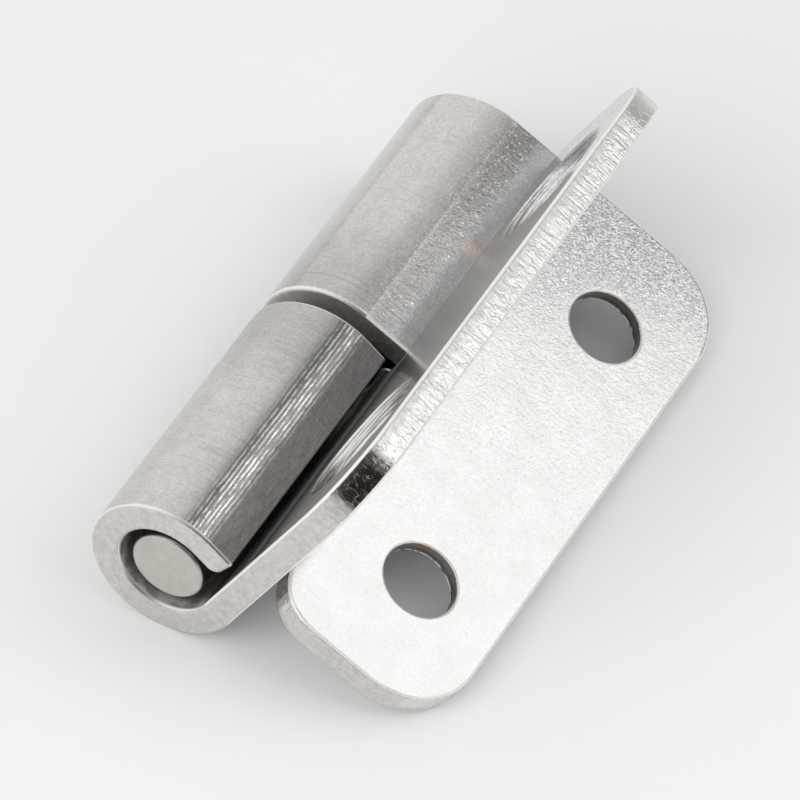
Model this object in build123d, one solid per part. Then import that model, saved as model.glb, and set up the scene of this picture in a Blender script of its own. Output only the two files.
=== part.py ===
from build123d import *
from math import asin, atan, cos, degrees, hypot, radians, sin
import os

os.makedirs("parts", exist_ok=True)

# Lift-off hinge: two leaves of folded sheet, each rolled into a knuckle on half of its length, and one
# turned pin. All sizes are in millimetres. A leaf is drawn lying flat, with the pin's axis along Y through
# the origin, the plate running out to +X and its outer (mounting) face on top.

hinge_length = 50.0        # along the pin, the same for both leaves
leaf_reach = 22.5          # from the pin's axis to the leaf's free edge
sheet = 2.4                # thickness of the sheet
knuckle_radius = 6.25      # outside of the rolled knuckle
knuckle_gap = 1.45         # between the two knuckles
frame_clearance = 0.45     # between the frame leaf's cut-back edge and the other leaf's knuckle
door_clearance = 0.25      # the same on the door leaf, whose corner is the stop when the hinge over-opens
stop_gap = 0.05            # left between that corner and the frame leaf at rest
corner_radius = 6.4        # plate corners on the free edge
cut_corner_radius = 4.0    # plate corner at the end of the cut-back edge
notch_radius = 0.8         # inside corner, where the cut-back edge meets the knuckle's end

roll_past = 8.0            # degrees that the roll turns past the side facing the plate
roll_tail = 2.3            # straight end of the roll, after the bend
tail_round = 0.9           # inner corner of the sheet's rolled-in end

screw_hole_radius = 3.05   # clears an M6 screw
seat_radius = 5.7          # rim of the screw's seat, on the inner face
seat_depth = 1.15          # depth of that seat
screw_spacing = 30.0       # between a leaf's two holes
screw_line = 15.1          # from the pin's axis to the line of holes

journal_radius = 3.0       # pin, where the door leaf turns on it and lifts off
pin_running = 0.05         # radial clearance of the pin's thick part in the frame leaf's knuckle
pin_recess = 0.4           # how far the pin's ends lie inside the hinge's ends
pin_end_round = 0.3        # edges of the pin's ends

edge_round = 0.3           # sheet edges on the outer face, rounded by the punch
inner_round = 0.35         # sheet edges on the inner face and at the bore's ends
hole_round = 0.2           # the screw holes' outer rims

knuckle_length = (hinge_length - knuckle_gap) / 2  # each leaf's share of the barrel
bore_radius = knuckle_radius - sheet
inner_face = knuckle_radius - sheet                # height of the plate's inner face above the pin's axis
cut_length = hinge_length - knuckle_length         # length of the cut-back edge, beside the other knuckle
frame_cut_back = knuckle_radius + frame_clearance  # from the pin's axis to that edge
door_cut_back = knuckle_radius + door_clearance
land = sheet - seat_depth                          # wall of a screw hole under its seat
roll_end = radians(roll_past)
roll_end_out = Vector(cos(roll_end), sin(roll_end))        # from the pin's axis to the end of the bend
roll_end_along = Vector(-sin(roll_end), cos(roll_end))     # the way the straight end runs
outer_edge_round = min(edge_round, 0.3 * sheet)
inner_edge_round = min(inner_round, 0.3 * sheet)
screw_rim_round = min(hole_round, 0.4 * land)
end_inner_round = min(tail_round, 0.45 * sheet)


def over_open_angle():
    # angle between the two outer faces when the door leaf's corner is stop_gap clear of the frame leaf:
    # the corner's height over the pin is cut_back * sin(a) - radius * cos(a)
    reach = hypot(door_cut_back, knuckle_radius)
    lean = atan(knuckle_radius / door_cut_back)
    return degrees(asin((knuckle_radius + stop_gap) / reach) + lean)


def resting_slope():
    # slope of the frame leaf when the barrel and the rounded lower edge of its free end stand on a table
    out = leaf_reach - inner_edge_round
    up = inner_face + inner_edge_round
    return degrees(asin((knuckle_radius - inner_edge_round) / hypot(out, up)) + atan(up / out))


def plate(cut_back):
    # L-shaped blank: full length outside the cut-back line, and in to the pin's axis beside the knuckle
    full = Pos(leaf_reach / 2, hinge_length / 2) * Rectangle(leaf_reach, hinge_length)
    cut = Pos(cut_back / 2, cut_length / 2) * Rectangle(cut_back, cut_length)
    blank = full - cut
    free = blank.vertices().filter_by(lambda v: abs(v.X - leaf_reach) < 0.01)
    blank = fillet(free, corner_radius)
    outer_corner = blank.vertices().filter_by(lambda v: abs(v.X - cut_back) < 0.01 and abs(v.Y) < 0.01)
    blank = fillet(outer_corner, cut_corner_radius)
    notch = blank.vertices().filter_by(
        lambda v: abs(v.X - cut_back) < 0.01 and abs(v.Y - cut_length) < 0.01)
    blank = fillet(notch, notch_radius)
    return Pos(0, 0, inner_face) * extrude(blank, sheet)


def roll_profile():
    # section of the roll: from the plate's edge once round the pin, and a short straight end
    outer_end = roll_end_out * knuckle_radius + roll_end_along * roll_tail
    inner_end = roll_end_out * bore_radius + roll_end_along * roll_tail
    turn = 270 + roll_past
    outer = CenterArc((0, 0), knuckle_radius, 90, turn)
    inner = CenterArc((0, 0), bore_radius, 90, turn)
    lines = [outer, inner,
             Line(outer @ 1, outer_end), Line(inner @ 1, inner_end), Line(outer_end, inner_end),
             Line(outer @ 0, inner @ 0)]
    face = make_face(lines)
    corner = face.vertices().sort_by_distance(inner_end)[0]
    return fillet(corner, end_inner_round)


def knuckle():
    roll = extrude(Plane.XZ * roll_profile(), -knuckle_length)
    return Pos(0, cut_length, 0) * roll


def screw_holes():
    cutter = Cylinder(screw_hole_radius, 4 * sheet)
    seat = Pos(0, 0, inner_face + seat_depth / 2) * Cone(seat_radius, screw_hole_radius, seat_depth)
    cutters = []
    for side in (-1, 1):
        place = Pos(screw_line, hinge_length / 2 + side * screw_spacing / 2, 0)
        cutters.append(place * Pos(0, 0, knuckle_radius - sheet / 2) * cutter)
        cutters.append(place * seat)
    return cutters


def on_outer_skin(point):
    # the plate's top, the outside of the roll or the outside of its straight end
    section = Vector(point.X, point.Z)
    along = section.dot(roll_end_along)
    out = section.dot(roll_end_out)
    past_bend = along > 0.001 and point.X > 0
    on_top = abs(point.Z - knuckle_radius) < 0.001 and point.X > -0.001
    on_roll = abs(section.length - knuckle_radius) < 0.001 and not past_bend
    on_tail = abs(out - knuckle_radius) < 0.001 and along > -0.001
    return on_top or on_roll or on_tail


def on_inner_skin(point):
    # the plate's underside, the bore or the inside of the straight end
    section = Vector(point.X, point.Z)
    along = section.dot(roll_end_along)
    out = section.dot(roll_end_out)
    past_bend = along > 0.001 and point.X > 0
    on_plate = abs(point.Z - inner_face) < 0.001 and point.X > -0.001
    on_bore = abs(section.length - bore_radius) < 0.001 and not past_bend
    on_tail = abs(out - bore_radius) < 0.001 and along > -0.001
    return on_plate or on_bore or on_tail


def outline(body, on_skin):
    # the edges round one skin of the sheet, without the seams, the screw holes and the rolled-in end
    found = []
    for edge in body.edges():
        points = [edge @ share for share in (0.0, 0.25, 0.5, 0.75, 1.0)]
        if not all(on_skin(p) for p in points) or edge.is_closed:
            continue
        across = all(abs(p.X - points[0].X) < 0.001 and abs(p.Z - points[0].Z) < 0.001 for p in points)
        if across and points[0].X < min(frame_cut_back, door_cut_back) - 0.01:
            continue
        found.append(edge)
    return found


def hole_rims(body):
    # where the screw holes meet the outer face
    return [edge for edge in body.edges()
            if edge.is_closed and all(abs((edge @ share).Z - knuckle_radius) < 0.001 for share in (0.0, 0.5))]


def leaf(cut_back):
    body = plate(cut_back) + knuckle()
    for cutter in screw_holes():
        body = body - cutter
    body = fillet(outline(body, on_outer_skin), outer_edge_round)
    body = fillet(outline(body, on_inner_skin), inner_edge_round)
    return fillet(hole_rims(body), screw_rim_round)


def pin():
    # thick part held in the frame leaf's knuckle, thinner journal in the door leaf's
    from_end = (Align.CENTER, Align.CENTER, Align.MIN)
    journal = Cylinder(journal_radius, cut_length - pin_recess, align=from_end)
    shank = Cylinder(bore_radius - pin_running, knuckle_length - pin_recess, align=from_end)
    body = Pos(0, 0, pin_recess) * journal + Pos(0, 0, cut_length) * shank
    rims = body.edges().filter_by(GeomType.CIRCLE).sort_by(Axis.Z)
    body = fillet([rims[0], rims[-1]], min(pin_end_round, 0.2 * journal_radius))
    return Rot(-90, 0, 0) * body


open_angle = over_open_angle()
slope = resting_slope()

frame_leaf = Rot(0, slope, 0) * leaf(frame_cut_back)
flipped = Pos(0, hinge_length, 0) * Rot(0, 0, 180) * leaf(door_cut_back)
door_leaf = Rot(0, slope + 180 - open_angle, 0) * flipped
hinge_pin = pin()

# stand it on the table, with the origin under the middle of the whole hinge
boxes = [frame_leaf.bounding_box(), door_leaf.bounding_box()]
lowest = [min(getattr(box.min, side) for box in boxes) for side in "XYZ"]
highest = [max(getattr(box.max, side) for box in boxes) for side in "XYZ"]
place = Pos(-(lowest[0] + highest[0]) / 2, -(lowest[1] + highest[1]) / 2, -lowest[2])
nodes = {"frame_leaf": place * frame_leaf, "door_leaf": place * door_leaf, "hinge_pin": place * hinge_pin}
for name, body in nodes.items():
    export_step(body, "parts/" + name + ".step")
print("open angle", round(open_angle, 3), "slope", round(slope, 3), "place", place.position)
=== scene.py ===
import bpy
from math import cos, pi, radians, sin
from mathutils import Euler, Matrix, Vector

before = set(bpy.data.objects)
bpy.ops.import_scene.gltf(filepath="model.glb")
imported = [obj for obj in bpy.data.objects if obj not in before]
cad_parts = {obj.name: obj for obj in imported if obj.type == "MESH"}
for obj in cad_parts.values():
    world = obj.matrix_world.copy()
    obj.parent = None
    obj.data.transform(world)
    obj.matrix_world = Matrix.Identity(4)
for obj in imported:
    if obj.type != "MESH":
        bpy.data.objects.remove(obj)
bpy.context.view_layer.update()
print("frame loaded:", sorted(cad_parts))


# node trees are built with short helpers: a new node, sums on values, a soft step, noise, and mixes
def newNode(tree, kind, inputs=None, **settings):
    node = tree.nodes.new(kind)
    for name, value in settings.items():
        setattr(node, name, value)
    for socket, value in (inputs or {}).items():
        if isinstance(value, bpy.types.NodeSocket):
            tree.links.new(value, node.inputs[socket])
        else:
            node.inputs[socket].default_value = value
    return node


def mathOf(tree, operation, first, second=0.0, third=0.0):
    return newNode(tree, "ShaderNodeMath", {0: first, 1: second, 2: third}, operation=operation).outputs[0]


def productOf(tree, *factors):
    result = factors[0]
    for factor in factors[1:]:
        result = mathOf(tree, "MULTIPLY", result, factor)
    return result


def oneMinus(tree, value):
    return mathOf(tree, "SUBTRACT", 1.0, value)


def awayFrom(tree, value, middle=0.0):
    return mathOf(tree, "ABSOLUTE", mathOf(tree, "SUBTRACT", value, middle))


def lengthOf(tree, first, second):
    squares = mathOf(tree, "ADD", mathOf(tree, "POWER", first, 2.0), mathOf(tree, "POWER", second, 2.0))
    return mathOf(tree, "SQRT", squares)


def fade(tree, value, low, high, toLow=0.0, toHigh=1.0):
    # a soft step from toLow to toHigh while value goes from low to high
    inputs = {"Value": value, "From Min": low, "From Max": high, "To Min": toLow, "To Max": toHigh}
    return newNode(tree, "ShaderNodeMapRange", inputs, interpolation_type="SMOOTHSTEP").outputs["Result"]


def noiseIn(tree, vector, perMm, detail=3.0, roughness=0.55, distortion=0.0):
    # perMm is three values, so that a pattern can be drawn out along one direction
    perMetre = tuple(value * 1000 for value in perMm)
    scaled = newNode(tree, "ShaderNodeVectorMath", {0: vector, 1: perMetre}, operation="MULTIPLY")
    inputs = {"Vector": scaled.outputs[0], "Scale": 1.0, "Detail": detail, "Roughness": roughness,
              "Distortion": distortion}
    return newNode(tree, "ShaderNodeTexNoise", inputs).outputs["Fac"]


def evenNoise(tree, vector, perMm, **settings):
    return noiseIn(tree, vector, (perMm, perMm, perMm), **settings)


def blendOf(tree, factor, first, second):
    return newNode(tree, "ShaderNodeMix", {0: factor, 2: first, 3: second}, data_type="FLOAT").outputs[0]


def colourMix(tree, factor, first, second):
    return newNode(tree, "ShaderNodeMix", {0: factor, 6: first, 7: second}, data_type="RGBA").outputs[2]


def scaledTone(tree, colour, factor):
    inputs = {0: colour, "Scale": factor}
    return newNode(tree, "ShaderNodeVectorMath", inputs, operation="SCALE").outputs[0]


def bumpInto(tree, shader, height):
    bump = newNode(tree, "ShaderNodeBump", {"Height": height, "Distance": 1.0, "Strength": 1.0})
    tree.links.new(bump.outputs[0], shader.inputs["Normal"])


def steelShader(name):
    material = bpy.data.materials.new(name)
    material.use_nodes = True
    tree = material.node_tree
    tree.nodes.clear()
    output = newNode(tree, "ShaderNodeOutputMaterial")
    shader = newNode(tree, "ShaderNodeBsdfPrincipled", {"Metallic": 1.0})
    tree.links.new(shader.outputs[0], output.inputs[0])
    return material, tree, shader


def wear(node, material):
    node.data.materials.clear()
    node.data.materials.append(material)


# the pin's axis, the slopes of the leaves and the sheet's own sizes, as the frame has them;
# rollFade, channelStart and channelEnd are places on the unrolled sheet, just past the knuckle
hinge = {
    "axisX": -0.00830928, "axisZ": 0.00625,
    "frameSlope": 25.90785, "openAngle": 88.1958,
    "knuckleRadius": 0.00625, "sheet": 0.0024,
    "plateSlack": 0.00005, "turnHigh": 359, "turnLow": -1,
    "rollFade": (-0.0012, 0.0010), "channelStart": (0.0020, 0.0036), "channelEnd": (0.0080, 0.0066),
}
innerHeight = hinge["knuckleRadius"] - hinge["sheet"]

# how squarely a face looks up from the plate or along the pin, as the two ends of a soft step
facing = {
    "inside": -0.3, "edge": (0.5, 0.3), "end": (0.82, 0.88),
    "plateRoundStart": (0.96, 0.90), "plateRoundEnd": (0.35, 0.5),
    "ringRoundStart": (0.12, 0.25), "ringRoundEnd": (0.85, 0.70),
}


def fromAxis(tree, coord):
    inputs = {0: coord.outputs["Object"], 1: (hinge["axisX"], 0.0, hinge["axisZ"])}
    return newNode(tree, "ShaderNodeVectorMath", inputs, operation="SUBTRACT").outputs[0]


def alongWay(tree, vector, way):
    inputs = {0: vector, 1: way}
    return newNode(tree, "ShaderNodeVectorMath", inputs, operation="DOT_PRODUCT").outputs["Value"]


def sheetPlace(tree, flipped):
    # the leaf's own directions: reach runs out from the pin, height is towards the outer face;
    # unrolled follows the sheet over the plate and on round the knuckle
    coord = newNode(tree, "ShaderNodeTexCoord")
    turn = radians(hinge["frameSlope"] + (180 - hinge["openAngle"] if flipped else 0))
    outward = -1.0 if flipped else 1.0
    reachWay = (outward * cos(turn), 0.0, -outward * sin(turn))
    heightWay = (sin(turn), 0.0, cos(turn))
    lengthWay = (0.0, 1.0, 0.0)
    centred = fromAxis(tree, coord)
    reach = alongWay(tree, centred, reachWay)
    height = alongWay(tree, centred, heightWay)
    lengthwise = alongWay(tree, centred, lengthWay)
    faceHeight = alongWay(tree, coord.outputs["Normal"], heightWay)
    faceLength = alongWay(tree, coord.outputs["Normal"], lengthWay)
    radius = lengthOf(tree, reach, height)
    outFromPin = mathOf(tree, "GREATER_THAN", reach, 0.0)
    overInner = mathOf(tree, "GREATER_THAN", height, innerHeight - hinge["plateSlack"])
    onPlate = productOf(tree, outFromPin, overInner)
    fromTop = mathOf(tree, "SUBTRACT", mathOf(tree, "ARCTAN2", height, reach), radians(90))
    turned = mathOf(tree, "WRAP", fromTop, radians(hinge["turnHigh"]), radians(hinge["turnLow"]))
    rolled = mathOf(tree, "MULTIPLY", turned, -hinge["knuckleRadius"])
    unrolled = blendOf(tree, onPlate, rolled, reach)
    depth = blendOf(tree, onPlate, radius, height)
    place = newNode(tree, "ShaderNodeCombineXYZ", {0: unrolled, 1: lengthwise, 2: depth}).outputs[0]
    plain = newNode(tree, "ShaderNodeCombineXYZ", {0: reach, 1: lengthwise, 2: height}).outputs[0]
    return {"place": place, "plain": plain, "unrolled": unrolled, "onPlate": onPlate, "radius": radius,
            "reach": reach, "height": height, "lengthwise": lengthwise, "faceHeight": faceHeight,
            "steep": awayFrom(tree, faceHeight), "endOn": awayFrom(tree, faceLength)}


# screw holes: a dished seat with turning rings, a painted highlight on its lip and painted shade at its far
# tip, and a short dark wall with a dashed burr painted white as a highlight
screwSeat = {
    "line": 0.0151, "halfSpacing": 0.015, "rim": 0.0057, "hole": 0.00305,
    "rimSoft": (0.00002, -0.00004), "wallSlack": 0.0001,
    "ringsPerMm": (3.4, 0.2, 0.2), "ringHeight": 0.00004, "ringFade": (0.40, 0.60), "ringTone": (0.42, 1.40),
    "lipWidth": 0.00024, "lipSoft": (0.00004, -0.00002), "lipHighlightTone": 1.45,
    "shadedTip": (0.0186, 0.0198), "shadedTipTone": 0.4,
    "wallFade": (0.00545, 0.00570),
    "wallOuter": (0.44, 0.37, 0.30, 1.0), "wallInner": (0.22, 0.23, 0.26, 1.0),
    "burrFade": (0.00516, 0.00510), "burrPerMm": (2.3, 2.3, 0.5), "burrHighlightDashes": (0.44, 0.52),
}


def seatZones(tree, spot):
    # distance from the nearer screw hole's middle, and where the seat and the hole's wall are
    values = screwSeat
    across = mathOf(tree, "SUBTRACT", spot["reach"], values["line"])
    lengthwise = mathOf(tree, "SUBTRACT", awayFrom(tree, spot["lengthwise"]), values["halfSpacing"])
    away = lengthOf(tree, across, lengthwise)
    insideFace = mathOf(tree, "LESS_THAN", spot["faceHeight"], facing["inside"])
    rim = [values["rim"] + soft for soft in values["rimSoft"]]
    onSeat = productOf(tree, insideFace, fade(tree, away, *rim))
    atHole = mathOf(tree, "LESS_THAN", away, values["hole"] + values["wallSlack"])
    wall = productOf(tree, atHole, spot["onPlate"], fade(tree, spot["steep"], *facing["edge"]))
    turn = newNode(tree, "ShaderNodeCombineXYZ", {0: away, 1: spot["reach"], 2: spot["lengthwise"]})
    rings = noiseIn(tree, turn.outputs[0], values["ringsPerMm"], roughness=0.65)
    return {"away": away, "insideFace": insideFace, "onSeat": onSeat, "wall": wall, "rings": rings}


def seatTone(tree, spot, zones):
    # turning rings, a painted highlight on the lip round the seat, and painted shade at the seat's far tip
    values = screwSeat
    ringed = fade(tree, zones["rings"], *values["ringFade"], *values["ringTone"])
    # painted shade: the seat darkens towards its far tip
    shadedTip = fade(tree, spot["lengthwise"], *values["shadedTip"], 1.0, values["shadedTipTone"])
    tone = blendOf(tree, zones["onSeat"], 1.0, productOf(tree, ringed, shadedTip))
    # painted highlight: a bright lip round the seat
    halfLip = values["lipWidth"] / 2
    toLip = awayFrom(tree, zones["away"], values["rim"] - halfLip)
    lipHighlight = fade(tree, toLip, *[halfLip + soft for soft in values["lipSoft"]])
    lipHighlight = productOf(tree, lipHighlight, zones["insideFace"])
    return blendOf(tree, lipHighlight, tone, productOf(tree, shadedTip, values["lipHighlightTone"]))


def burrHighlightDashes(tree, spot, zones):
    # a thin broken burr at the bottom of the hole's wall, painted white and matt as a highlight
    values = screwSeat
    dashes = fade(tree, noiseIn(tree, spot["plain"], values["burrPerMm"], detail=1.0), *values["burrHighlightDashes"])
    return productOf(tree, zones["wall"], fade(tree, spot["height"], *values["burrFade"]), dashes)


# marks left on the outer skin by the roll's tool, between two places on the unrolled sheet; their bright
# streaks and specks are painted highlights on real pressed marks
rollMarksAndGlints = {
    "near": {"middle": -0.0290, "reach": 0.0015, "spacing": 0.00033, "breakUp": 1.00, "height": 0.000004,
             "fade": (0.40, 0.58), "tone": (0.45, 1.42), "lineTone": 0.9},
    "far": {"middle": 0.0013, "reach": 0.0016, "specksPerMm": (3.7, 3.4, 0.9), "breakUp": 0.1,
            "height": 0.000014, "fade": (0.62, 0.68), "tone": (0.92, 1.75), "lineTone": 1.35},
    "core": 0.45, "beadsPerMm": (3.3, 0.8, 0.9),
    "driftPerMm": (0.06, 0.16, 0.06), "drift": 7.0, "wave": 0.16, "waveMiddle": 0.40,
}
stain = {"place": (0.0033, 0.0121, 0.0063), "inner": 0.0005, "outer": 0.0012, "ragged": 0.0004,
         "tone": (0.64, 0.57, 0.52, 1.0)}


def rollMarkAndGlintPattern(tree, spot, marksAndGlints):
    # broken streaks or specks where the skin was pressed against the tool; the same pattern sets their
    # painted highlight tone
    values = rollMarksAndGlints
    away = awayFrom(tree, spot["unrolled"], marksAndGlints["middle"])
    band = fade(tree, away, marksAndGlints["reach"], marksAndGlints["reach"] * values["core"])
    if "spacing" in marksAndGlints:
        drift = noiseIn(tree, spot["place"], values["driftPerMm"], detail=1.0)
        turn = mathOf(tree, "MULTIPLY", spot["unrolled"], 2 * pi / marksAndGlints["spacing"])
        turn = mathOf(tree, "MULTIPLY_ADD", drift, values["drift"], turn)
        wave = mathOf(tree, "SINE", turn)
        pattern = mathOf(tree, "MULTIPLY_ADD", wave, values["wave"], values["waveMiddle"])
    else:
        pattern = noiseIn(tree, spot["place"], marksAndGlints["specksPerMm"], detail=2.0)
    beads = noiseIn(tree, spot["place"], values["beadsPerMm"], detail=5.0, roughness=0.75)
    beads = mathOf(tree, "SUBTRACT", beads, 0.5)
    pattern = mathOf(tree, "MULTIPLY_ADD", beads, marksAndGlints["breakUp"], pattern)
    return {"band": band, "sharp": fade(tree, pattern, *marksAndGlints["fade"])}


# satin stainless sheet: fine orange peel, coarser at the plate's far end, and grain lines round the roll
sheetSteel = {
    "bright": (0.70, 0.69, 0.68, 1.0), "dull": (0.67, 0.66, 0.65, 1.0),
    "rolledTone": (0.655, 0.635, 0.62, 1.0), "rolledToneFade": (0.003, 0.001),
    "coarseTone": (0.675, 0.677, 0.686, 1.0), "cloudPerMm": 0.35, "cloudFade": (0.35, 0.65),
    "farSlant": -0.9, "farPatchPerMm": 0.16, "farPatchSway": 0.010,
    "farFade": (-0.001, 0.012), "farReach": (0.0045, 0.0100),
    "peelPerMm": 3.4, "peelWarp": 1.2, "flatPeel": (0.0000056, 0.0000150), "rolledPeel": 0.0000034,
    "fleckFade": (0.42, 0.58), "fleckTone": (0.74, 1.17),
    "swellPerMm": 1.2, "swellHeight": 0.000003,
    "linesPerMm": (0.22, 9.0, 0.3), "lineHeight": 0.0000007,
    "pitPerMm": 6.5, "pitFade": (0.60, 0.72), "pitDepth": 0.0000028, "platePits": 0.5,
    "wornPerMm": (0.17, 11.0, 0.3), "wornFade": (0.58, 0.66),
    "patchPerMm": (0.3, 0.42, 0.3), "patchFade": (0.42, 0.56),
    "doorLineTone": 0.78, "frameLineTone": 0.87, "flatLineTone": 0.95,
    "roughPerMm": 1.8, "roughFade": (0.3, 0.7), "rough": (0.05, 0.08),
    "rolledRough": 0.10, "channelRough": 0.18, "innerRough": 0.16,
}


def farPart(tree, spot):
    # the sheet's coarser end, beside the knuckle
    values = sheetSteel
    slanted = mathOf(tree, "MULTIPLY_ADD", spot["reach"], values["farSlant"], spot["lengthwise"])
    patchy = mathOf(tree, "SUBTRACT", evenNoise(tree, spot["place"], values["farPatchPerMm"]), 0.5)
    slanted = mathOf(tree, "MULTIPLY_ADD", patchy, values["farPatchSway"], slanted)
    inReach = fade(tree, spot["reach"], *values["farReach"])
    return productOf(tree, fade(tree, slanted, *values["farFade"]), inReach)


def flatPart(tree, spot):
    # the roll's skin passes softly into the plate's
    return fade(tree, spot["unrolled"], *hinge["rollFade"])


def peelNoise(tree, spot):
    values = sheetSteel
    return evenNoise(tree, spot["place"], values["peelPerMm"], detail=2.0, distortion=values["peelWarp"])


def peelHeight(tree, spot):
    values = sheetSteel
    slow = evenNoise(tree, spot["place"], values["swellPerMm"], detail=1.0)
    grain = noiseIn(tree, spot["place"], values["linesPerMm"], roughness=0.65)
    pits = fade(tree, evenNoise(tree, spot["place"], values["pitPerMm"], detail=1.0), *values["pitFade"])
    flat = blendOf(tree, farPart(tree, spot), *values["flatPeel"])
    peel = blendOf(tree, flatPart(tree, spot), values["rolledPeel"], flat)
    height = productOf(tree, peelNoise(tree, spot), peel)
    height = mathOf(tree, "MULTIPLY_ADD", slow, values["swellHeight"], height)
    height = mathOf(tree, "MULTIPLY_ADD", grain, values["lineHeight"], height)
    depth = blendOf(tree, spot["onPlate"], -values["pitDepth"], -values["platePits"] * values["pitDepth"])
    return mathOf(tree, "MULTIPLY_ADD", pits, depth, height)


# what rolling and handling left, with painted light, at places on the unrolled sheet: both leaves have
# painted shade beside the joint, the door leaf painted shade beside the marks and a streaked side darkened as
# painted dark reflection, the frame leaf a painted highlight on its top and a band of painted shade
handlingAndPaintedLight = {
    "doorKnuckle": (0.006, 0.003), "frameKnuckle": (0.0085, 0.0062),
    "jointShadeFade": (0.003, 0.012), "jointShade": 0.82,
    "sideFade": (-0.0296, -0.0304), "side": 0.46, "sideRoughFade": (-0.0298, -0.0304), "sideRough": 0.14,
    "besideMiddle": -0.0279, "besideFade": (0.0, 0.0009), "beside": 0.76,
    "streaksPerMm": (4.6, 0.9, 0.5), "streakRange": (0.3, 0.7), "streaks": 0.16,
    "streakFade": (-0.0292, -0.0302),
    "litTopMiddle": -0.0015, "litTopFade": (0.0005, 0.0022), "top": 1.12,
    "lineMiddle": 0.0026, "lineFade": (0.00003, 0.00012), "line": 0.86, "band": 0.71,
    "mottlePerMm": (0.9, 0.6, 0.5), "mottle": 0.08, "mottleLight": 0.6,
    "grainPerMm": 4.6, "noiseRange": (0.25, 0.75), "flatGrain": 0.03, "rolledGrain": 0.10,
    "pitPerMm": 5.2, "pitFade": (0.66, 0.73), "pitTone": 0.16,
}


def doorKnuckleTone(tree, spot, tone):
    values = handlingAndPaintedLight
    # painted dark reflection: the roll's side next to the door plate is darkened
    side = fade(tree, spot["unrolled"], *values["sideFade"], 1.0, values["side"])
    # painted shade: a darker strip just beside the tool marks
    toShade = awayFrom(tree, spot["unrolled"], values["besideMiddle"])
    shade = fade(tree, toShade, *values["besideFade"], values["beside"], 1.0)
    drawn = noiseIn(tree, spot["place"], values["streaksPerMm"], detail=4.0, roughness=0.7)
    drawn = fade(tree, drawn, *values["streakRange"], 1.0 - values["streaks"], 1.0 + values["streaks"])
    drawn = blendOf(tree, fade(tree, spot["unrolled"], *values["streakFade"]), 1.0, drawn)
    return productOf(tree, tone, side, shade, drawn)


def frameKnuckleTone(tree, spot, tone, onKnuckle):
    values = handlingAndPaintedLight
    # painted highlight: the top of the frame leaf's knuckle is lighter
    offLitTop = fade(tree, awayFrom(tree, spot["unrolled"], values["litTopMiddle"]), *values["litTopFade"])
    line = fade(tree, awayFrom(tree, spot["lengthwise"], values["lineMiddle"]), *values["lineFade"],
                values["line"], 1.0)
    # painted shade: a darker band in the channel beside the knuckle
    inShadedBand = productOf(tree, flatPart(tree, spot), fade(tree, spot["unrolled"], *hinge["channelEnd"]))
    return productOf(tree, tone, blendOf(tree, offLitTop, values["top"], 1.0),
                     blendOf(tree, onKnuckle, 1.0, line), blendOf(tree, inShadedBand, 1.0, values["band"]))


def handledAndPaintedLightTone(tree, spot, flipped):
    values = handlingAndPaintedLight
    knuckle = values["doorKnuckle" if flipped else "frameKnuckle"]
    onKnuckle = fade(tree, spot["unrolled"], *knuckle)
    # painted shade: the knuckles are darker near the joint between them
    tone = fade(tree, awayFrom(tree, spot["lengthwise"]), *values["jointShadeFade"], values["jointShade"], 1.0)
    tone = blendOf(tree, onKnuckle, 1.0, tone)
    if flipped:
        tone = doorKnuckleTone(tree, spot, tone)
    else:
        tone = frameKnuckleTone(tree, spot, tone, onKnuckle)
    cloud = noiseIn(tree, spot["place"], values["mottlePerMm"], detail=6.0, roughness=0.7)
    cloud = fade(tree, cloud, *values["noiseRange"], 1.0 - values["mottle"],
                 1.0 + values["mottle"] * values["mottleLight"])
    cloud = blendOf(tree, onKnuckle, 1.0, cloud)
    grain = evenNoise(tree, spot["place"], values["grainPerMm"], detail=2.0)
    grain = fade(tree, grain, *values["noiseRange"], -1.0, 1.0)
    grainDepth = blendOf(tree, onKnuckle, values["flatGrain"], values["rolledGrain"])
    pits = fade(tree, evenNoise(tree, spot["place"], values["pitPerMm"], detail=1.0), *values["pitFade"])
    pits = productOf(tree, pits, onKnuckle, values["pitTone"])
    grain = mathOf(tree, "MULTIPLY_ADD", grain, grainDepth, 1.0)
    return productOf(tree, tone, cloud, mathOf(tree, "SUBTRACT", grain, pits))


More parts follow.
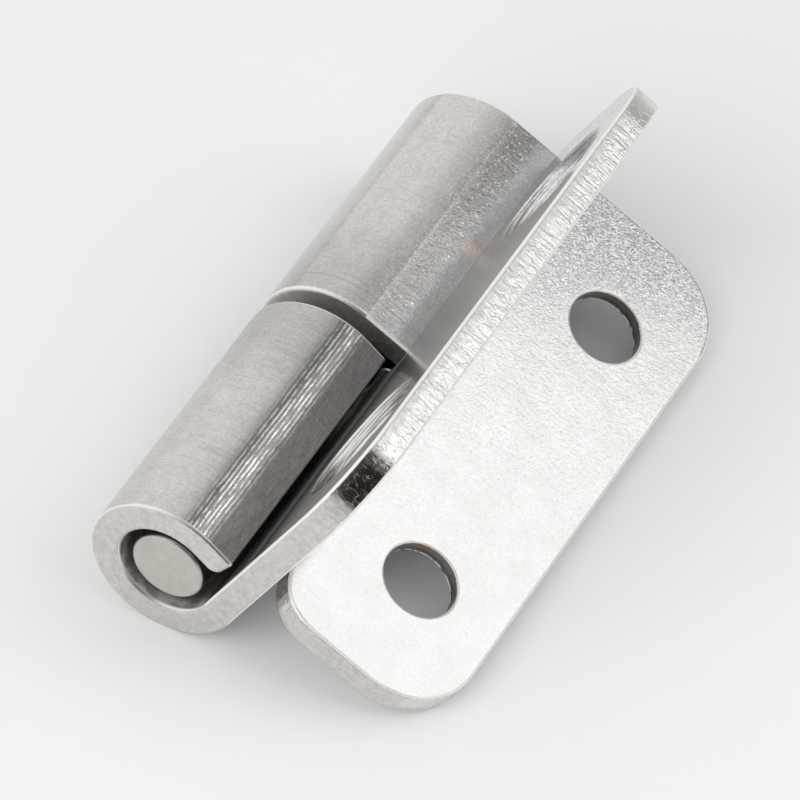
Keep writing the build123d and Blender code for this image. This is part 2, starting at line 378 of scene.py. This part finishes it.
def sheetTone(tree, spot, flipped, marksAndGlints, pressedAndGlints, zones):
    # the skin's colour, darkened and in places lightened by worn lines, flecks, handling with its painted
    # light and shade, tool marks with painted highlights, and the seats with a painted lip highlight and tip
    # shade
    values = sheetSteel
    cloud = fade(tree, evenNoise(tree, spot["place"], values["cloudPerMm"], detail=4.0), *values["cloudFade"])
    skin = colourMix(tree, cloud, values["dull"], values["bright"])
    onRoll = fade(tree, spot["unrolled"], *values["rolledToneFade"])
    skin = colourMix(tree, onRoll, skin, values["rolledTone"])
    coarse = productOf(tree, farPart(tree, spot), spot["onPlate"])
    skin = colourMix(tree, coarse, skin, values["coarseTone"])
    fineLine = fade(tree, noiseIn(tree, spot["place"], values["wornPerMm"], detail=2.0), *values["wornFade"])
    patch = fade(tree, noiseIn(tree, spot["place"], values["patchPerMm"], detail=2.0), *values["patchFade"])
    rolledLine = values["doorLineTone" if flipped else "frameLineTone"]
    lineTone = blendOf(tree, flatPart(tree, spot), rolledLine, values["flatLineTone"])
    # inside the tool marks' band the worn lines take the marks' line tone, which on the frame leaf is a
    # painted highlight
    lineTone = blendOf(tree, pressedAndGlints["band"], lineTone, marksAndGlints["lineTone"])
    lines = blendOf(tree, productOf(tree, fineLine, patch), 1.0, lineTone)
    flecks = blendOf(tree, fade(tree, peelNoise(tree, spot), *values["fleckFade"]), *values["fleckTone"])
    flecks = blendOf(tree, coarse, 1.0, flecks)
    # painted highlight: the tool marks' tone makes bright streaks and specks, up to well above the skin's own
    streaks = blendOf(tree, pressedAndGlints["band"], 1.0, blendOf(tree, pressedAndGlints["sharp"], *marksAndGlints["tone"]))
    darker = productOf(tree, lines, flecks, handledAndPaintedLightTone(tree, spot, flipped), streaks,
                       seatTone(tree, spot, zones))
    return scaledTone(tree, skin, darker)


# the sheet's cut edge: drag lines across it, greyer and rougher near the inner face, matt at the knuckles'
# ends, a painted highlight where it is rounded, a corner brown and partly painted dark reflection, and the
# dark bore inside the roll, painted lighter near its ends; a corner's angles are in degrees
sheetEdge = {
    "sheared": (0.78, 0.77, 0.75, 1.0), "torn": (0.70, 0.685, 0.665, 1.0), "tornFade": (0.0003, -0.0001),
    "shearedRough": 0.20, "tornRough": 0.30, "wanderPerMm": 1.5, "wander": 0.0014,
    "endTone": (0.74, 0.722, 0.70), "endRough": 0.5, "endHeight": 0.000010,
    "mottlePerMm": 2.3, "mottleRange": (0.28, 0.72), "mottleTone": (0.83, 1.10),
    "dragPerMm": (2.2, 2.2, 0.352), "dragHeight": 0.000040, "dragWarp": 0.3,
    "chipPerMm": (1.6, 1.6, 0.88), "chipHeight": 0.0000175, "chipWarp": 1.2, "chipFade": (0.46, 0.56),
    "roundHighlightTone": (0.90, 0.885, 0.87, 1.0), "roundRough": 0.40, "roundMetal": 0.5,
    "doorCorner": {"middle": (0.0161, -0.0186), "side": 1.0, "start": 26, "end": 76, "strength": 1.0},
    "frameCorner": {"middle": (0.0107, -0.0210), "side": -1.0, "start": 46, "end": 100, "strength": 0.75},
    "shade": (0.22, 0.185, 0.175, 1.0), "shadeSpots": (0.46, 0.42, 0.41, 1.0),
    "shadeStartSoft": 4, "shadeEndSoft": 9, "shadePerMm": 1.9, "shadeFade": (0.49, 0.62),
    "boreTone": (0.25, 0.22, 0.20, 1.0), "boreLitEndTone": (0.56, 0.52, 0.48, 1.0),
    "boreFade": (0.00022, 0.00006), "boreLitEnd": (0.0232, 0.0247), "boreRough": 0.5, "boreMetal": 0.55,
    "smearPerMm": (0.5, 0.9, 0.3), "smearRange": (0.35, 0.68), "smearTone": (0.7, 1.6),
}


def edgeZones(tree, spot, zones):
    # the sheet's thickness shows where the surface faces along the pin or across the plate's own height
    values = sheetEdge
    onRoll = oneMinus(tree, spot["onPlate"])
    plateEdge = productOf(tree, fade(tree, spot["steep"], *facing["edge"]), spot["onPlate"])
    endFace = fade(tree, spot["endOn"], *facing["end"])
    skin = oneMinus(tree, mathOf(tree, "MAXIMUM", plateEdge, endFace))
    wander = evenNoise(tree, spot["plain"], values["wanderPerMm"])
    tornLevel = mathOf(tree, "MULTIPLY_ADD", wander, values["wander"], innerHeight)
    torn = fade(tree, mathOf(tree, "SUBTRACT", spot["height"], tornLevel), *values["tornFade"])
    inBore = fade(tree, spot["radius"], *[innerHeight + away for away in values["boreFade"]])
    plateRound = productOf(tree, fade(tree, spot["steep"], *facing["plateRoundStart"]), spot["onPlate"],
                           fade(tree, spot["steep"], *facing["plateRoundEnd"]),
                           oneMinus(tree, zones["onSeat"]))
    ringRound = productOf(tree, fade(tree, spot["endOn"], *facing["ringRoundStart"]),
                          fade(tree, spot["endOn"], *facing["ringRoundEnd"]), onRoll)
    mottle = fade(tree, evenNoise(tree, spot["plain"], values["mottlePerMm"], detail=5.0, roughness=0.75),
                  *values["mottleRange"], *values["mottleTone"])
    return {"plateEdge": plateEdge, "endFace": endFace, "skin": skin, "wander": wander, "torn": torn,
            "inBore": productOf(tree, inBore, onRoll), "plateRound": plateRound, "mottle": mottle,
            "rounded": mathOf(tree, "MAXIMUM", plateRound, ringRound), "burrHighlight": burrHighlightDashes(tree, spot, zones)}


def cornerBrownAndPaintedShade(tree, spot, edgeTone, corner):
    # a brown mottled colour on one corner's edge, partly real and partly painted dark reflection, between two
    # angles round the corner's middle
    values = sheetEdge
    aside = mathOf(tree, "SUBTRACT", spot["reach"], corner["middle"][0])
    ahead = mathOf(tree, "SUBTRACT", corner["middle"][1], spot["lengthwise"])
    turned = mathOf(tree, "ARCTAN2", productOf(tree, aside, corner["side"]), ahead)
    start, end = corner["start"], corner["end"]
    begun = fade(tree, turned, radians(start), radians(start + values["shadeStartSoft"]))
    ended = fade(tree, turned, radians(end), radians(end - values["shadeEndSoft"]))
    near = mathOf(tree, "LESS_THAN", spot["lengthwise"], corner["middle"][1])
    spots = evenNoise(tree, spot["plain"], values["shadePerMm"], detail=4.0, roughness=0.7)
    spots = fade(tree, spots, *values["shadeFade"])
    shaded = colourMix(tree, spots, values["shade"], values["shadeSpots"])
    return colourMix(tree, productOf(tree, begun, ended, near, corner["strength"]), edgeTone, shaded)


def boreTone(tree, spot):
    values = sheetEdge
    smear = noiseIn(tree, spot["place"], values["smearPerMm"], detail=4.0, roughness=0.65)
    smear = fade(tree, smear, *values["smearRange"], *values["smearTone"])
    # painted light: the bore is lighter near its open ends, where light falls in
    litNearEnd = fade(tree, awayFrom(tree, spot["lengthwise"]), *values["boreLitEnd"])
    return scaledTone(tree, colourMix(tree, litNearEnd, values["boreTone"], values["boreLitEndTone"]), smear)


def stained(tree, spot, edges, colour):
    inputs = {0: spot["plain"], 1: stain["place"]}
    toStain = newNode(tree, "ShaderNodeVectorMath", inputs, operation="DISTANCE")
    ragged = mathOf(tree, "MULTIPLY_ADD", edges["wander"], stain["ragged"], toStain.outputs["Value"])
    return colourMix(tree, fade(tree, ragged, stain["outer"], stain["inner"]), colour, stain["tone"])


def sheetColour(tree, spot, zones, edges, pressedAndGlints, flipped, marksAndGlints):
    values = sheetEdge
    edgeTone = colourMix(tree, edges["torn"], values["sheared"], values["torn"])
    edgeTone = cornerBrownAndPaintedShade(tree, spot, edgeTone, values["doorCorner" if flipped else "frameCorner"])
    endTone = scaledTone(tree, values["endTone"], edges["mottle"])
    wallDepth = fade(tree, spot["height"], *screwSeat["wallFade"])
    wallTone = colourMix(tree, wallDepth, screwSeat["wallInner"], screwSeat["wallOuter"])
    colour = sheetTone(tree, spot, flipped, marksAndGlints, pressedAndGlints, zones)
    colour = colourMix(tree, edges["plateEdge"], colour, edgeTone)
    colour = colourMix(tree, edges["endFace"], colour, endTone)
    colour = colourMix(tree, edges["inBore"], colour, boreTone(tree, spot))
    colour = colourMix(tree, zones["wall"], colour, wallTone)
    if not flipped:
        colour = stained(tree, spot, edges, colour)
    # painted highlight: rounded edges take a light tone
    colour = colourMix(tree, edges["rounded"], colour, values["roundHighlightTone"])
    # painted highlight: the burr's dashes take the light rounded-edge tone
    return colourMix(tree, edges["burrHighlight"], colour, values["roundHighlightTone"])


def sheetRough(tree, spot, zones, edges, flipped):
    # rougher on the roll, in the channel beside it, on the inner face and on every cut
    values = sheetSteel
    rough = fade(tree, evenNoise(tree, spot["place"], values["roughPerMm"]), *values["roughFade"],
                 *values["rough"])
    rough = mathOf(tree, "ADD", rough, blendOf(tree, flatPart(tree, spot), values["rolledRough"], 0.0))
    channel = productOf(tree, fade(tree, spot["unrolled"], *hinge["channelStart"]),
                        fade(tree, spot["unrolled"], *hinge["channelEnd"]))
    rough = mathOf(tree, "MULTIPLY_ADD", channel, values["channelRough"], rough)
    inner = productOf(tree, zones["insideFace"], oneMinus(tree, zones["onSeat"]))
    rough = mathOf(tree, "MULTIPLY_ADD", inner, values["innerRough"], rough)
    if flipped:
        side = fade(tree, spot["unrolled"], *handlingAndPaintedLight["sideRoughFade"], 0.0, handlingAndPaintedLight["sideRough"])
        rough = mathOf(tree, "ADD", rough, side)
    cut = blendOf(tree, edges["torn"], sheetEdge["shearedRough"], sheetEdge["tornRough"])
    rough = blendOf(tree, edges["inBore"], rough, sheetEdge["boreRough"])
    rough = blendOf(tree, edges["plateEdge"], rough, cut)
    rough = blendOf(tree, edges["endFace"], rough, sheetEdge["endRough"])
    return blendOf(tree, edges["rounded"], rough, sheetEdge["roundRough"])


def sheetMetal(tree, spot, edges):
    # less of a mirror in the bore and on the rounded edges
    offRound = fade(tree, spot["endOn"], *reversed(facing["ringRoundStart"]))
    flatBore = productOf(tree, edges["inBore"], offRound)
    metal = blendOf(tree, flatBore, 1.0, sheetEdge["boreMetal"])
    metal = blendOf(tree, edges["plateRound"], metal, sheetEdge["roundMetal"])
    return blendOf(tree, edges["burrHighlight"], metal, 0.0)


def sheetHeight(tree, spot, zones, edges, pressedAndGlints, marksAndGlints):
    values = sheetEdge
    pressedIn = productOf(tree, pressedAndGlints["sharp"], pressedAndGlints["band"], marksAndGlints["height"])
    surface = mathOf(tree, "ADD", peelHeight(tree, spot), pressedIn)
    shear = noiseIn(tree, spot["plain"], values["dragPerMm"], roughness=0.6, distortion=values["dragWarp"])
    chips = noiseIn(tree, spot["plain"], values["chipPerMm"], detail=2.0, roughness=0.5,
                    distortion=values["chipWarp"])
    chips = productOf(tree, fade(tree, chips, *values["chipFade"]), values["chipHeight"])
    shear = mathOf(tree, "MULTIPLY_ADD", shear, values["dragHeight"], chips)
    height = productOf(tree, surface, edges["skin"])
    height = mathOf(tree, "ADD", height, productOf(tree, shear, edges["plateEdge"]))
    endGrain = productOf(tree, edges["mottle"], edges["endFace"], values["endHeight"])
    height = mathOf(tree, "ADD", height, endGrain)
    ringed = productOf(tree, zones["rings"], zones["onSeat"])
    return mathOf(tree, "MULTIPLY_ADD", ringed, screwSeat["ringHeight"], height)


def dressSheet(node, name, flipped, marksAndGlints):
    material, tree, shader = steelShader(name)
    spot = sheetPlace(tree, flipped)
    zones = seatZones(tree, spot)
    edges = edgeZones(tree, spot, zones)
    pressedAndGlints = rollMarkAndGlintPattern(tree, spot, marksAndGlints)
    colour = sheetColour(tree, spot, zones, edges, pressedAndGlints, flipped, marksAndGlints)
    tree.links.new(colour, shader.inputs["Base Color"])
    tree.links.new(sheetRough(tree, spot, zones, edges, flipped), shader.inputs["Roughness"])
    tree.links.new(sheetMetal(tree, spot, edges), shader.inputs["Metallic"])
    bumpInto(tree, shader, sheetHeight(tree, spot, zones, edges, pressedAndGlints, marksAndGlints))
    wear(node, material)


# turned pin: matt end face, smoother round its side
pinSteel = {
    "side": (0.50, 0.47, 0.44, 1.0), "end": (0.66, 0.625, 0.59, 1.0), "endFacing": (0.6, 0.9),
    "mottlePerMm": 0.9, "mottleRange": (0.3, 0.7), "mottleTone": (0.93, 1.04),
    "sideRough": 0.28, "endRough": 0.5, "height": 0.000006,
    "blastPerMm": 7.0, "ringsPerMm": (0.3, 9.0, 0.3),
}


def dressPin(node, name):
    values = pinSteel
    material, tree, shader = steelShader(name)
    coord = newNode(tree, "ShaderNodeTexCoord")
    place = fromAxis(tree, coord)
    parts = newNode(tree, "ShaderNodeSeparateXYZ", {0: coord.outputs["Normal"]})
    endFace = fade(tree, awayFrom(tree, parts.outputs[1]), *values["endFacing"])
    tone = fade(tree, evenNoise(tree, place, values["mottlePerMm"], detail=4.0), *values["mottleRange"],
                *values["mottleTone"])
    colour = scaledTone(tree, colourMix(tree, endFace, values["side"], values["end"]), tone)
    tree.links.new(colour, shader.inputs["Base Color"])
    rough = blendOf(tree, endFace, values["sideRough"], values["endRough"])
    tree.links.new(rough, shader.inputs["Roughness"])
    rings = noiseIn(tree, place, values["ringsPerMm"])
    pattern = blendOf(tree, endFace, rings, evenNoise(tree, place, values["blastPerMm"]))
    bumpInto(tree, shader, productOf(tree, pattern, values["height"]))
    wear(node, material)


dressSheet(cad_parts["frame_leaf"], "frameLeafSteel", flipped=False, marksAndGlints=rollMarksAndGlints["far"])
dressSheet(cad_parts["door_leaf"], "doorLeafSteel", flipped=True, marksAndGlints=rollMarksAndGlints["near"])
dressPin(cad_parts["hinge_pin"], "pinSteel")
print("steel dressed")


# photographer's table and the soft light round it
table = {"size": 4.0, "colour": (0.90, 0.90, 0.90, 1.0), "rough": 0.9, "shine": 0.2}


def makeTable():
    bpy.ops.mesh.primitive_plane_add(size=table["size"], location=(0, 0, 0))
    top = bpy.context.object
    top.name = "table"
    material = bpy.data.materials.new("paperWhite")
    material.use_nodes = True
    shader = material.node_tree.nodes["Principled BSDF"]
    shader.inputs["Base Color"].default_value = table["colour"]
    shader.inputs["Roughness"].default_value = table["rough"]
    shader.inputs["Specular IOR Level"].default_value = table["shine"]
    top.data.materials.append(material)


# a bright room on the left, a dark one towards the viewer's right, a wide panel behind on the right, and two
# soft fills that the steel doesn't mirror
studio = {
    "middle": 0.69, "leftGain": 0.66, "least": 0.41, "most": 0.95, "tint": (1.0, 0.995, 0.985, 1.0),
    "front": 0.14, "frontFade": (0.0, -0.35), "rightFade": (-0.2, 0.2), "onTable": 0.64,
    "panel": {"way": (0.6880, 0.2810, 0.669), "away": 0.6, "size": (0.60, 0.50), "watts": 0.92},
    "fill": {"way": (-0.15, -0.80, 0.40), "away": 1.0, "size": (1.2, 1.2), "watts": 9.8},
    "sideFill": {"way": (0.55, -0.12, 0.80), "away": 1.0, "size": (1.6, 1.6), "watts": 3.5},
}


def makeWorld():
    values = studio
    world = bpy.data.worlds.new("studioRoom")
    bpy.context.scene.world = world
    world.use_nodes = True
    tree = world.node_tree
    tree.nodes.clear()
    coord = newNode(tree, "ShaderNodeTexCoord")
    parts = newNode(tree, "ShaderNodeSeparateXYZ", {0: coord.outputs["Generated"]})
    level = mathOf(tree, "MULTIPLY_ADD", parts.outputs[0], -values["leftGain"], values["middle"])
    level = mathOf(tree, "MINIMUM", mathOf(tree, "MAXIMUM", level, values["least"]), values["most"])
    dark = productOf(tree, fade(tree, parts.outputs[1], *values["frontFade"]),
                     fade(tree, parts.outputs[0], *values["rightFade"]))
    # the table takes less from the room than the steel shows, and the rest from the soft fill
    ray = newNode(tree, "ShaderNodeLightPath")
    level = productOf(tree, level, blendOf(tree, dark, 1.0, values["front"]),
                      blendOf(tree, ray.outputs["Is Diffuse Ray"], 1.0, values["onTable"]))
    background = newNode(tree, "ShaderNodeBackground", {"Color": values["tint"], "Strength": level})
    output = newNode(tree, "ShaderNodeOutputWorld")
    tree.links.new(background.outputs[0], output.inputs[0])


def makeLamp(name, inReflections):
    values = studio[name]
    data = bpy.data.lights.new(name, "AREA")
    data.shape = "RECTANGLE"
    data.size, data.size_y = values["size"]
    data.energy = values["watts"]
    lamp = bpy.data.objects.new(name, data)
    way = Vector(values["way"]).normalized()
    lamp.location = way * values["away"]
    lamp.rotation_euler = way.to_track_quat("Z", "Y").to_euler()
    lamp.visible_glossy = inReflections
    bpy.context.collection.objects.link(lamp)


makeTable()
makeWorld()
makeLamp("panel", True)
makeLamp("fill", False)
makeLamp("sideFill", False)
print("table and light made")


# the photographer's place: metres, degrees and millimetres of lens
view = {
    "place": (0.178396, -0.404464, 0.489512), "turn": (42.30546, -3.81265, 28.19477),
    "lens": 390.8, "sensor": 36.0, "nearest": 0.05, "farthest": 20.0,
}


def makeCamera():
    data = bpy.data.cameras.new("viewCamera")
    data.sensor_width = view["sensor"]
    data.lens = view["lens"]
    data.clip_start = view["nearest"]
    data.clip_end = view["farthest"]
    camera = bpy.data.objects.new("viewCamera", data)
    camera.location = view["place"]
    camera.rotation_euler = Euler([radians(angle) for angle in view["turn"]])
    bpy.context.collection.objects.link(camera)
    bpy.context.scene.camera = camera


makeCamera()
bpy.context.scene.view_settings.view_transform = "Standard"
print("camera placed")
